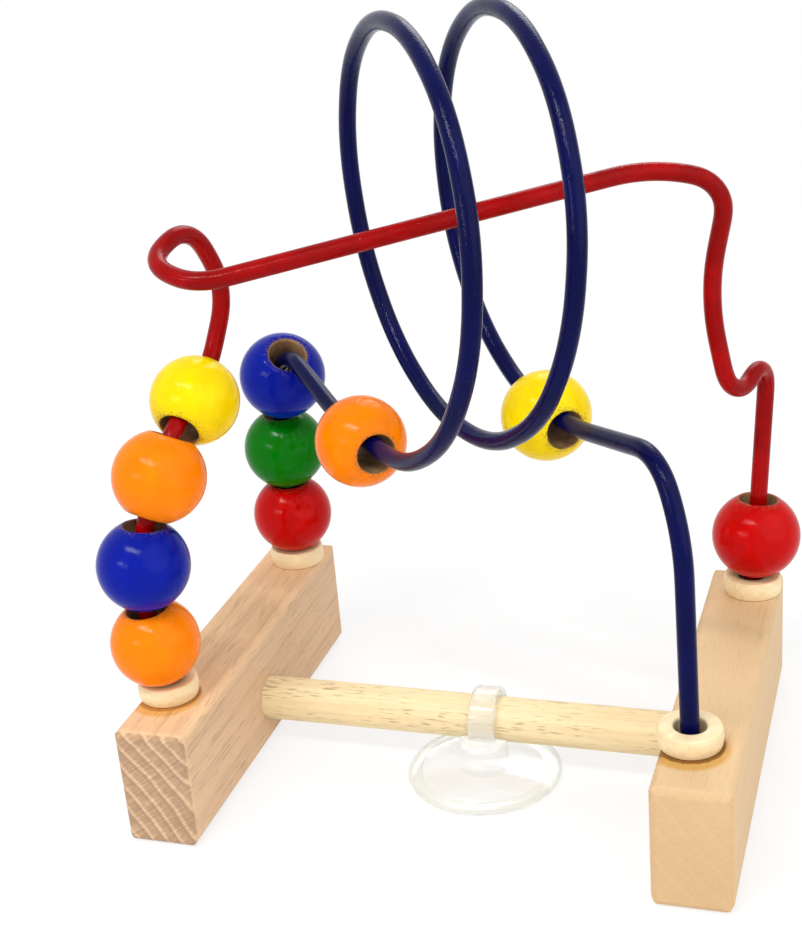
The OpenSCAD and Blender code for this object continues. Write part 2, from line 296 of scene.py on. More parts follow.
@dataclass(frozen=True)
class BeechFinish(Finish):
    """Sanded bare beech: rings and rays on the ends, fine flecks on the sides, glue and a darker ring by the
    collars, painted light on the top.
    """

    sizes: "MazeSizes"
    pale: Colour
    dark: Colour
    pith: Spot
    collar: Spot
    ring: float
    ring_warp: float = 2.2 * MM
    ring_depth: float = 1.0
    fleck_depth: float = 0.65
    # Painted light: a multiplier that makes the top face lighter, standing in for light the lamps leave off
    # it.
    top_painted_light: Colour = (1.0, 1.0, 1.0)
    end_fade: Spot = (1.2 * MM, 0.5 * MM)
    top_fade: Spot = (1.5 * MM, 0.5 * MM)
    glue: Colour = (0.88, 0.71, 0.36)
    glue_forward: float = 1.6 * MM
    glue_fray: float = 2.5 * MM
    glue_fade: Spot = (7.2 * MM, 8.6 * MM)
    # Colour of a darker ring right round the collar's foot, multiplied into the wood.
    foot_ring: Colour = (0.34, 0.23, 0.12)
    foot_ring_forward: float = 0.35 * MM
    foot_ring_fray: float = 0.9 * MM
    foot_ring_fade: Spot = (6.8 * MM, 7.3 * MM)
    gloss = 0.25
    relief = (0.09 * MM, 0.55)

    def sockets(self, b: Bench, p: Sock) -> dict[str, Any]:
        """Growth rings, rays, flecks and glue marks."""
        x, y, z = b.axes(p)
        end_y, top_z = self.sizes.block_l / 2 * MM, self.sizes.block_h * MM
        mid_x = math.copysign(self.sizes.block_spacing / 2 * MM, self.collar[0])
        tilt = math.atan2(top_z / 2 - self.pith[1], mid_x - self.pith[0])
        warp = b.grain(p, (90, 14, 90))
        far = (x - self.pith[0]).hypot(z - self.pith[1]) + (warp - 0.5) * self.ring_warp
        ring = (far / self.ring).fract()
        band = ring.above(0.1, 0.8) * (1 - ring.above(0.86, 1.0))
        end = (y * y).root().above(*(end_y - fade for fade in self.end_fade))
        top = z.above(*(top_z - fade for fade in self.top_fade))
        ray = b.grain(p, (260, 90, 2600), 2.0, 0.6, (0, tilt, 0))
        streak = b.grain(p, (1300, 40, 1300), 3.0, 0.65)
        fleck = b.grain(p, (2300, 170, 2300), 1.0).above(0.57, 0.72)
        dots = b.grain(p, (1500, 110, 1500)).above(0.62, 0.74)
        cloud = b.grain(p, (45, 16, 45))
        pores = b.noise(p, 2400, 2.0, 0.6) - 0.5
        side = 0.04 + band * (0.2 * self.ring_depth) + (streak - 0.5) * 0.8 + (cloud - 0.5) * 0.42
        line = ring.above(0.0, 0.12) * (1 - ring.above(0.16, 0.42)) - ring.above(0.72, 0.96) * 0.5
        cut = 0.36 + (0.36 - line * 0.42) * self.ring_depth
        cut = cut + (ray - 0.5) * (0.2 + self.ring_depth) + (cloud - 0.5) * 0.4 + pores * 0.55
        share = side + (cut - side) * end
        base = b.blend(share.above(0.0, 1.0), self.pale, self.dark)
        # Painted light: the top face is multiplied lighter here.
        base = b.blend(top, base, self.top_painted_light, "MULTIPLY")
        mark = (fleck * (0.55 * self.fleck_depth) + dots * (0.3 * self.fleck_depth)) * (1 - end * 0.7)
        marked = b.blend(mark * 0.85, base, tuple(c * 0.62 for c in self.dark))
        patch, foot_ring = self._glue_and_ring(x, y, cloud, streak)
        amber = b.blend(patch * top, marked, self.glue, "MULTIPLY")
        # A darker ring is multiplied in right round the collar's foot.
        glued_and_ringed = b.blend(foot_ring * top * 0.9, amber, self.foot_ring, "MULTIPLY")
        height = streak * 0.5 + (1 - fleck) * 0.35 + (1 - band) * 0.15
        return self.skin(b, glued_and_ringed, 0.56 + (streak - 0.5) * 0.2, height)

    def _glue_and_ring(self, x: Sock, y: Sock, cloud: Sock, streak: Sock) -> tuple[Sock, Sock]:
        """Masks of the glue mark and of the darker ring round the front collar.

        Args:
            x: place across.
            y: place along.
            cloud: soft noise that frays the mark's edge.
            streak: fine noise that breaks the ring.

        Returns:
            The mask of the mark and that of the darker ring right round the collar's foot.
        """
        across = x - self.collar[0]
        far = across.hypot(y - (self.collar[1] - self.glue_forward)) + (cloud - 0.5) * self.glue_fray
        near = across.hypot(y - (self.collar[1] - self.foot_ring_forward)) + (streak - 0.5) * self.foot_ring_fray
        return 1 - far.above(*self.glue_fade), 1 - near.above(*self.foot_ring_fade)


@dataclass(frozen=True)
class DowelFinish(Finish):
    """Pale bare dowel with short dark flecks along its length."""

    pale: Colour
    dark: Colour
    fleck: Colour

    def sockets(self, b: Bench, p: Sock) -> dict[str, Any]:
        """Streaks, clouds and flecks."""
        streak = b.grain(p, (22, 700, 700), 3.0, 0.6)
        cloud = b.grain(p, (28, 140, 140))
        dash = b.grain(p, (260, 2300, 2300), 1.0)
        patch = b.grain(p, (40, 160, 160), 1.0).above(0.38, 0.62)
        mark = dash.above(0.56, 0.7) * (0.2 + patch * 0.8)
        base = b.blend((streak * 0.6 + cloud * 0.5).above(0.3, 0.85), self.pale, self.dark)
        marked = b.blend(mark * 0.68, base, self.fleck)
        return self.skin(b, marked, 0.5 + (cloud - 0.5) * 0.2, streak * 0.5 + (1 - mark) * 0.5)


@dataclass(frozen=True)
class CollarFinish(Finish):
    """Pale turned collars: faint layers across, fine turning lines."""

    pale: Colour
    dark: Colour
    relief = (0.05 * MM, 0.5)

    def sockets(self, b: Bench, p: Sock) -> dict[str, Any]:
        """Layers, grain and turning lines."""
        layer = b.grain(p, (60, 60, 60))
        grain = b.grain(p, (900, 140, 900), 3.0, 0.6, (0.3, 0.2, 0.5))
        lines = b.grain(p, (30, 30, 3200), 1.0)
        colour = b.blend((layer * 0.6 + grain * 0.55).above(0.35, 0.9), self.pale, self.dark)
        return self.skin(b, colour, 0.5 + (grain - 0.5) * 0.2, grain * 0.6 + lines * 0.4)


@dataclass(frozen=True)
class PaintFinish(Finish):
    """Semi-gloss paint on a wooden bead: soft mottle, fine grain, blotchy gloss, chips by the mouths."""

    paint: Paint
    mottle: float = 0.06
    chips: float = 0.85
    raw: Colour = (0.105, 0.07, 0.035)
    gloss = 0.09
    relief = (0.11 * MM, 0.8)

    def sockets(self, b: Bench, p: Sock) -> dict[str, Any]:
        """Mottle, specks and chips."""
        cloud = b.noise(p, 190)
        grain = b.grain(p, (700, 700, 260), 3.0, 0.6, (0.5, 0.3, 0.2))
        blotch = b.noise(p, 900, 3.0, 0.65)
        speck = b.noise(p, 1700, 1.0).above(0.68, 0.76)
        colour = self.paint.value
        deep = tuple(c * (1 - 2 * self.mottle) for c in colour)
        light = tuple(min(1.0, c * (1 + self.mottle)) for c in colour)
        base = b.blend((cloud * 0.7 + grain * 0.4).above(0.35, 0.8), deep, light)
        worn = b.blend(speck * 0.16, base, tuple(c * 0.45 for c in colour))
        mouth = b.node("ShaderNodeAttribute", {"attribute_name": "mouth"}, output="Fac")
        chip = (b.noise(p, 2300, 2.0, 0.6) + mouth * 0.3).above(0.72, 0.82) * mouth.above(0.0, 0.35)
        bare = tuple(0.3 * c + wood for c, wood in zip(colour, self.raw))
        chipped = b.blend(chip * self.chips, worn, bare)
        return self.skin(b, chipped, 0.11 + (blotch - 0.5) * 0.14, blotch * 0.65 + grain * 0.35)


@dataclass(frozen=True)
class BoreFinish(Finish):
    """Raw drilled wood in the beads' bores."""

    pale: Colour
    dark: Colour
    gloss = 0.2
    relief = (0.12 * MM, 0.7)

    def sockets(self, b: Bench, p: Sock) -> dict[str, Any]:
        """Grain and clouds."""
        grain = b.grain(p, (800, 800, 240), 3.0, 0.6)
        cloud = b.noise(p, 300)
        colour = b.blend((grain * 0.6 + cloud * 0.5).above(0.3, 0.85), self.pale, self.dark)
        return self.skin(b, colour, 0.8 + (grain - 0.5) * 0.2, grain)


@dataclass(frozen=True)
class CoatFinish(Finish):
    """Glossy plastic coat on bent wire: slight waves, fine scuffs."""

    coat: Coat
    tones: Spot = (0.72, 1.22)
    gloss = 0.09
    relief = (0.17 * MM, 0.7)

    def sockets(self, b: Bench, p: Sock) -> dict[str, Any]:
        """Waves, clouds and scuffs."""
        wave = b.noise(p, 260)
        fine = b.noise(p, 1900, 2.0, 0.6)
        scuff = b.noise(p, 900, 1.0).above(0.66, 0.76)
        cloud = b.noise(p, 60)
        colour = self.coat.value
        deep, light = (tuple(c * share for c in colour) for share in self.tones)
        base = b.blend((cloud * 0.7 + wave * 0.4).above(0.35, 0.8), deep, light)
        scuffed = b.blend(scuff * 0.1, base, tuple(0.7 * c + 0.03 for c in colour))
        rough = 0.13 + (fine - 0.5) * 0.08 + scuff * 0.1
        return self.skin(b, scuffed, rough, wave * 0.4 + fine * 0.6)


@dataclass(frozen=True)
class ClearFinish(Finish):
    """Clear soft plastic with faint flow marks, a little milky in the strap and the rim."""

    middle: Spot
    rim: float
    strap_z: float
    strap_fade: float = 1.5 * MM
    rim_fade: float = 0.4 * MM
    ior: float = 1.4
    clear: float = 0.7
    alpha: float = 0.34
    tints: tuple[Colour, Colour] = ((0.945, 0.955, 0.90), (0.985, 0.99, 0.955))
    rim_tint: Colour = (0.86, 0.885, 0.80)
    gloss = 0.5
    relief = (0.06 * MM, 0.5)

    def sockets(self, b: Bench, p: Sock) -> dict[str, Any]:
        """Flow marks, and more body in the strap and the rim."""
        flow = b.grain(p, (160, 160, 90))
        fine = b.noise(p, 700)
        x, y, z = b.axes(p)
        far = (x - self.middle[0]).hypot(y - self.middle[1])
        strap = z.above(self.strap_z - self.strap_fade, self.strap_z + self.strap_fade)
        edge = far.above(self.rim - self.rim_fade, self.rim) * (1 - strap)
        body = b.blend(flow.above(0.3, 0.7), *self.tints)
        colour = b.blend(edge, body, self.rim_tint)
        return {
            **self.skin(b, colour, 0.12 + (fine - 0.5) * 0.08, flow * 0.6 + fine * 0.4),
            "IOR": self.ior,
            "Transmission Weight": self.clear,
            "Alpha": self.alpha + edge * 0.2 + strap * (0.3 + flow * 0.16),
        }


def clear_selection() -> None:
    """Leaves edit mode and deselects every object."""
    if bpy.context.object and bpy.context.object.mode != "OBJECT":
        bpy.ops.object.mode_set(mode="OBJECT")
    bpy.ops.object.select_all(action="DESELECT")


def choose(piece: bpy.types.Object) -> None:
    """Selects one piece alone."""
    clear_selection()
    piece.select_set(True)
    bpy.context.view_layer.objects.active = piece


def close_mesh() -> None:
    """Merges doubled places, turns the faces outwards and leaves edit mode."""
    bpy.ops.mesh.select_all(action="SELECT")
    bpy.ops.mesh.remove_doubles(threshold=MERGE)
    bpy.ops.mesh.normals_make_consistent(inside=False)
    bpy.ops.object.mode_set(mode="OBJECT")


def turn_profile(name: str, profile: Sequence[Spot], steps: int) -> bpy.types.Object:
    """Turns a closed profile about the upright axis, as on a lathe.

    Args:
        name: the piece's name.
        profile: places as distance from the axis and height, in millimetres, round the section.
        steps: number of steps round the axis.

    Returns:
        The turned piece.
    """
    clear_selection()
    bpy.ops.mesh.primitive_plane_add(size=MM)
    piece = bpy.context.object
    piece.name = name
    bpy.ops.object.mode_set(mode="EDIT")
    bpy.ops.mesh.select_all(action="SELECT")
    bpy.ops.mesh.merge(type="CENTER")
    spots = [(r * MM, z * MM) for r, z in profile]
    r, z = spots[0]
    bpy.ops.transform.translate(value=(r, 0, z))
    for (r0, z0), (r1, z1) in zip(spots, spots[1:] + spots[:1]):
        bpy.ops.mesh.extrude_region_move(TRANSFORM_OT_translate={"value": (r1 - r0, 0, z1 - z0)})
    bpy.ops.mesh.select_all(action="SELECT")
    bpy.ops.mesh.spin(steps=steps, angle=FULL_TURN, center=(0, 0, 0), axis=(0, 0, 1))
    close_mesh()
    return piece


def set_down(piece: bpy.types.Object, place: Matrix) -> None:
    """Moves a piece to its place and keeps that place in its mesh."""
    choose(piece)
    piece.matrix_world = place
    bpy.ops.object.transform_apply(location=True, rotation=True, scale=True)


def smooth(piece: bpy.types.Object, degrees: float) -> None:
    """Shades a piece smooth, apart from edges that are sharper than an angle."""
    choose(piece)
    bpy.ops.object.shade_smooth_by_angle(angle=math.radians(degrees))


def arc(centre: Spot, radius: float, start: float, end: float, count: int = EDGE_STEPS) -> list[Spot]:
    """Places on an arc.

    Args:
        centre: the arc's centre.
        radius: the arc's radius.
        start: first angle, in degrees.
        end: last angle, in degrees.
        count: number of places.

    Returns:
        The places in order.
    """
    angles = [math.radians(start + (end - start) * i / (count - 1)) for i in range(count)]
    return [(centre[0] + radius * math.cos(a), centre[1] + radius * math.sin(a)) for a in angles]


def dress(piece: bpy.types.Object, *materials: bpy.types.Material) -> None:
    """Gives a piece or CAD node its materials, in the order of the slots."""
    piece.data.materials.clear()
    for material in materials:
        piece.data.materials.append(material)


def seat(piece: bpy.types.Object, body: str, node: str) -> None:
    """Puts a piece on its body in place of its CAD node.

    Args:
        piece: the piece.
        body: the body that it rides on.
        node: the CAD node that it stands for.
    """
    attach(piece, body)
    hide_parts(node)
    log.info("%s rides on %s", piece.name, body)


@dataclass
class Route:
    """A bent wire's middle line, in millimetres: corners, each a place and a bend radius."""

    corners: list[Corner]
    reach_share: float = 0.46
    ease_reach: float = 2.5

    def __post_init__(self) -> None:
        """Works out legs, bends and lengths."""
        spots = [Vector(c[:3]) for c in self.corners]
        legs = [b - a for a, b in zip(spots, spots[1:])]
        self.headings = [leg.normalized() for leg in legs]
        self.reach, self.radius, self.turned = ([0.0] * len(spots) for _ in range(3))
        for i in range(1, len(spots) - 1):
            self.turned[i] = self.headings[i - 1].angle(self.headings[i])
            lever = math.tan(self.turned[i] / 2)
            longest = self.reach_share * min(legs[i - 1].length, legs[i].length)
            self.reach[i] = min(self.corners[i][3] * lever, longest)
            self.radius[i] = self.reach[i] / lever
        self.spots = spots
        self.runs = [leg.length - self.reach[i] - self.reach[i + 1] for i, leg in enumerate(legs)]
        self.bends = [r * t for r, t in zip(self.radius, self.turned)]

    @property
    def length(self) -> float:
        """Length of the whole wire."""
        return sum(self.runs) + sum(self.bends)

    def at(self, s: float) -> Vector:
        """A place on the wire.

        Args:
            s: length from the first foot.

        Returns:
            The place.
        """
        for i, run in enumerate(self.runs[:-1]):
            if s <= run:
                return self.spots[i] + self.headings[i] * (self.reach[i] + s)
            s -= run
            if s <= self.bends[i + 1]:
                return self._on_bend(i + 1, s)
            s -= self.bends[i + 1]
        return self.spots[-2] + self.headings[-1] * (self.reach[-2] + s)

    def _on_bend(self, i: int, s: float) -> Vector:
        """A place on a bend.

        Args:
            i: the bend's corner.
            s: length from the bend's start.

        Returns:
            The place.
        """
        before, after = self.headings[i - 1], self.headings[i]
        side = (after - before * before.dot(after)).normalized()
        r = self.radius[i]
        a = s / r
        start = self.spots[i] - before * self.reach[i]
        return start + side * (r * (1 - math.cos(a))) + before * (r * math.sin(a))

    def line(self, step: float, spread: float) -> list[Vector]:
        """Evenly spaced places, with the changes from run to bend eased.

        Args:
            step: spacing.
            spread: length over which a change is eased.

        Returns:
            The places.
        """
        count = max(2, round(self.length / step))
        sharp = [self.at(self.length * i / count) for i in range(count + 1)]
        wide = max(1, round(self.ease_reach * spread / step))
        weights = [math.exp(-0.5 * (k * step / spread) ** 2) for k in range(-wide, wide + 1)]
        eased = []
        for i in range(count + 1):
            near = min(wide, i, count - i)
            total, weight = Vector((0, 0, 0)), 0.0
            for k in range(-near, near + 1):
                total += sharp[i + k] * weights[k + wide]
                weight += weights[k + wide]
            eased.append(total / weight)
        return eased


@dataclass
class MazeSizes:
    """Sizes shared by the pieces, in millimetres, as in the part's source."""

    block_l: float = 95
    block_h: float = 27.5
    block_spacing: float = 113.5
    front_inset: float = 17
    back_inset: float = 10.3
    front_left: float = 2.4
    back_right: float = 2.1
    foot_depth: float = 14
    collar_t: float = 4.3
    dowel_d: float = 10
    dowel_h: float = 11.5
    dowel_forward: float = 2.75
    wire_d: float = 3.9
    red_bend_r: float = 8
    coil_r: float = 43.4
    coil_pitch: float = 20.3
    coil_turns: int = 2
    coil_turned: float = 39.5
    coil_right: float = 2.4
    coil_back: float = 3.3
    coil_lift: float = 51
    coil_swing: float = 2.6
    swing_start_share: float = 0.6
    coil_corners: int = 12
    lead_in: float = 25
    lead_out: float = 12
    lead_bend_r: float = 60
    back_corner_h: float = 61
    back_bend_r: float = 13.5
    front_corner_h: float = 58.5
    front_bend_r: float = 16
    front_lean_share: float = 0.18
    front_knee_h: float = 43.5
    knee_bend_r: float = 40
    knee_lean_share: float = 0.028
    red_bend_shares: tuple[Corner, ...] = (
        (-0.02, -0.04, 0.24, 6.4),
        (0.045, 0.11, 0.43, 2),
        (0.05, 0.395, 0.465, 1.6),
        (0.09, 0.475, 0.6, 2.2),
        (0.06, 0.375, 0.72, 1),
        (0.03, 0.16, 0.685, 0.95),
        (0.135, 0.08, 0.664, 1.4),
        (0.84, 0.73, 0.754, 4.6),
        (0.975, 0.795, 0.726, 1.05),
        (0.93, 0.84, 0.545, 6),
        (0.975, 0.825, 0.355, 0.7),
        (1.025, 1.065, 0.425, 0.6),
    )

    @property
    def coil_z(self) -> float:
        """Height of the coil's middle."""
        return self.block_h + self.coil_lift + self.coil_r

    def feet(self) -> dict[str, Spot]:
        """Places of the four wire feet on the blocks.

        Returns:
            Left or right, front or back, to its place across and along.
        """
        half = self.block_spacing / 2
        front = self.front_inset - self.block_l / 2
        back = self.block_l / 2 - self.back_inset
        return {
            "left_front": (-half - self.front_left, front),
            "left_back": (-half + self.back_right, back),
            "right_front": (half - self.front_left, front),
            "right_back": (half + self.back_right, back),
        }

    def red_route(self) -> Route:
        """The red wire's route.

        Returns:
            The route from the front left foot to the back right one.
        """
        feet = self.feet()
        (x0, y0), (x1, y1) = feet["left_front"], feet["right_back"]
        rise = self.coil_z + self.coil_r - self.block_h
        bends = [
            (x0 + a * (x1 - x0), y0 + b * (y1 - y0), self.block_h + c * rise, r * self.red_bend_r)
            for a, b, c, r in self.red_bend_shares
        ]
        return Route([self._foot((x0, y0), bends[0]), *bends, self._foot((x1, y1), bends[-1])])

    def _foot(self, p: Spot, upper: Corner) -> Corner:
        """A wire's end in its block, on the line from the leg's upper corner through its collar."""
        drop = self.foot_depth / (upper[2] - self.block_h)
        x, y = (p[i] + (p[i] - upper[i]) * drop for i in (0, 1))
        return (x, y, self.block_h - self.foot_depth, 0.0)

    def blue_route(self) -> Route:
        """The blue wire's route.

        Returns:
            The route from the back left foot, round the coil, to the front right foot.
        """
        feet = self.feet()
        (x0, y0), (x1, y1) = feet["left_back"], feet["right_front"]
        turn = math.radians(self.coil_turned)
        along = Vector((math.cos(turn), math.sin(turn), 0))
        near = Vector((math.sin(turn), -math.cos(turn), 0))
        mid = Vector((self.coil_right, self.coil_back, self.coil_z))
        half = along * (self.coil_pitch * self.coil_turns / 2)
        step = FULL_TURN / self.coil_corners
        out = self.coil_r / math.cos(step / 2)
        ring = []
        for i in range(self.coil_corners * self.coil_turns):
            angle = step * (i + 0.5) - math.pi / 2
            share = (i + 0.5) / (self.coil_corners * self.coil_turns)
            p = mid - half + along * (self.coil_pitch * self.coil_turns * share + self._swing(share))
            p = p + near * (out * math.cos(angle)) + Vector((0, 0, out * math.sin(angle)))
            ring.append((*p, self.coil_r))
        start = mid - half - Vector((0, 0, self.coil_r)) - near * self.lead_in
        end = mid + half - Vector((0, 0, self.coil_r))
        back = (x0, y0, self.block_h + self.back_corner_h, self.back_bend_r)
        shoulder, knee = (
            (x1 + share * (end.x - x1), y1 + share * (end.y - y1), self.block_h + high, r)
            for share, high, r in (
                (self.front_lean_share, self.front_corner_h, self.front_bend_r),
                (self.knee_lean_share, self.front_knee_h, self.knee_bend_r),
            )
        )
        return Route(
            [
                self._foot((x0, y0), back),
                back,
                (*start, self.lead_bend_r),
                *ring,
                (*(end + near * self.lead_out), self.lead_bend_r),
                shoulder,
                knee,
                self._foot((x1, y1), knee),
            ]
        )

    def _swing(self, share: float) -> float:
        """How far the coil swings out along the axis, at a share of its length."""
        if share < self.swing_start_share:
            return 0.0
        swung = (share - self.swing_start_share) / (1 - self.swing_start_share)
        return self.coil_swing * math.sin(math.pi * swung)


@dataclass
class Timber:
    """The two blocks and the dowel: CAD solids in bare wood."""

    sizes: MazeSizes

    def build(self) -> None:
        """Dresses the CAD solids."""
        collars = {name: (x * MM, y * MM) for name, (x, y) in self.sizes.feet().items()}
        left = BeechFinish(
            "beech_left",
            self.sizes,
            pale=(0.695, 0.472, 0.295),
            dark=(0.37, 0.228, 0.137),
            pith=(-0.118, -0.030),
            collar=collars["left_front"],
            ring=3.3 * MM,
            # Painted light that makes the left block's top lighter.
            top_painted_light=(1.13, 1.11, 1.02),
            # Lighter brown for the darker ring round this block's collar foot.
            foot_ring=(0.62, 0.47, 0.29),
        )
        right = BeechFinish(
            "beech_right",
            self.sizes,
            pale=(0.665, 0.46, 0.252),
            dark=(0.51, 0.315, 0.155),
            pith=(0.16, 0.10),
            collar=collars["right_front"],
            ring=4.4 * MM,
            ring_depth=0.12,
            fleck_depth=0.3,
        )
        dowel = DowelFinish("dowel_wood", (0.86, 0.72, 0.44), (0.72, 0.55, 0.30), (0.33, 0.235, 0.12))
        for node, finish in (("left_block", left), ("right_block", right), ("cross_dowel", dowel)):
            dress(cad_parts[node], finish.make())
            log.info("%s keeps its solid", node)


@dataclass
class Wires:
    """The red and the blue wire, each one smooth tube along its route."""

    sizes: MazeSizes
    step: float = 0.7
    ease: float = 1.5
    around: int = 7
    crease: float = 50

    def build(self) -> None:
        """Models both wires and puts them in place."""
        for name, route, coat, slot in (
            ("red_wire", self.sizes.red_route(), Coat.RED, "red_coat"),
            ("blue_wire", self.sizes.blue_route(), Coat.NAVY, "blue_coat"),
        ):
            piece = self._tube(name + "_bent", route.line(self.step, self.ease))
            dress(piece, CoatFinish("coat_" + coat.name.lower(), coat).make())
            seat(piece, Body.MAZE.value, name)

    def _tube(self, name: str, line: list[Vector]) -> bpy.types.Object:
        """Sweeps the wire's round section along a line.

        Args:
            name: the piece's name.
            line: places along the middle, in millimetres.

        Returns:
            The wire.
        """
        clear_selection()
        bpy.ops.curve.primitive_nurbs_path_add()
        piece = bpy.context.object
        piece.name = name
        curve = piece.data
        curve.splines.clear()
        spline = curve.splines.new("POLY")
        spline.points.add(len(line) - 1)
        for point, place in zip(spline.points, line):
            point.co = (*(place * MM), 1.0)
        curve.dimensions = "3D"
        curve.twist_mode = "MINIMUM"
        curve.bevel_depth = self.sizes.wire_d / 2 * MM
        curve.bevel_resolution = self.around
        curve.use_fill_caps = True
        choose(piece)
        bpy.ops.object.convert(target="MESH")
        piece = bpy.context.object
        bpy.ops.object.mode_set(mode="EDIT")
        close_mesh()
        smooth(piece, self.crease)
        return piece


@dataclass
class Collars:
    """Four turned wooden collars on the blocks."""

    sizes: MazeSizes
    outer_d: float = 13.3
    hole_d: float = 6.6
    bulge: float = 0.4
    edge: float = 0.5
    edge_start: float = 20
    rim_steps: int = 15
    steps: int = 96
    crease: float = 35
    letter_turn: float = 37
    finish: CollarFinish = CollarFinish("collar_wood", (0.90, 0.74, 0.47), (0.74, 0.54, 0.29))

    def build(self) -> None:
        """Turns one collar and sets four copies down, each turned by the length of its name."""
        material = self.finish.make()
        first = turn_profile("collar", self._profile(), self.steps)
        for name, (x, y) in self.sizes.feet().items():
            choose(first)
            bpy.ops.object.duplicate(linked=False)
            piece = bpy.context.object
            piece.name = "collar_" + name + "_turned"
            spin = Matrix.Rotation(math.radians(self.letter_turn * len(name)), 4, "Z")
            set_down(piece, Matrix.Translation((x * MM, y * MM, self.sizes.block_h * MM)) @ spin)
            smooth(piece, self.crease)
            dress(piece, material)
            seat(piece, Body.MAZE.value, "collar_" + name)
        bpy.data.objects.remove(first)

    def _profile(self) -> list[Spot]:
        """The collar's section, with soft edges and a crowned rim.

        Returns:
            Places round the section.
        """
        out, hole, top, e = self.outer_d / 2, self.hole_d / 2, self.sizes.collar_t, self.edge
        rim_r = (top * top / 4 + self.bulge**2) / (2 * self.bulge)
        swing = math.degrees(math.asin((top / 2 - e) / rim_r))
        rim = arc((out - rim_r, top / 2), rim_r, -swing, swing, self.rim_steps)
        r_end = rim[-1][0]
        top_edge = arc((r_end - e, top - e), e, self.edge_start, 90)
        low_edge = arc((r_end - e, e), e, -90, -self.edge_start)
        bore_top = arc((hole + e, top - e), e, 90, 180)
        bore_low = arc((hole + e, e), e, 180, 270)
        return low_edge + rim + top_edge + bore_top + bore_low


@dataclass
class Bead:
    """One bead: its CAD node, diameter, paint, place on its wire and radius of its softened mouths."""

    node: str
    diameter: float
    paint: Paint
    mid: Vector
    axis: Vector
    mouth: float


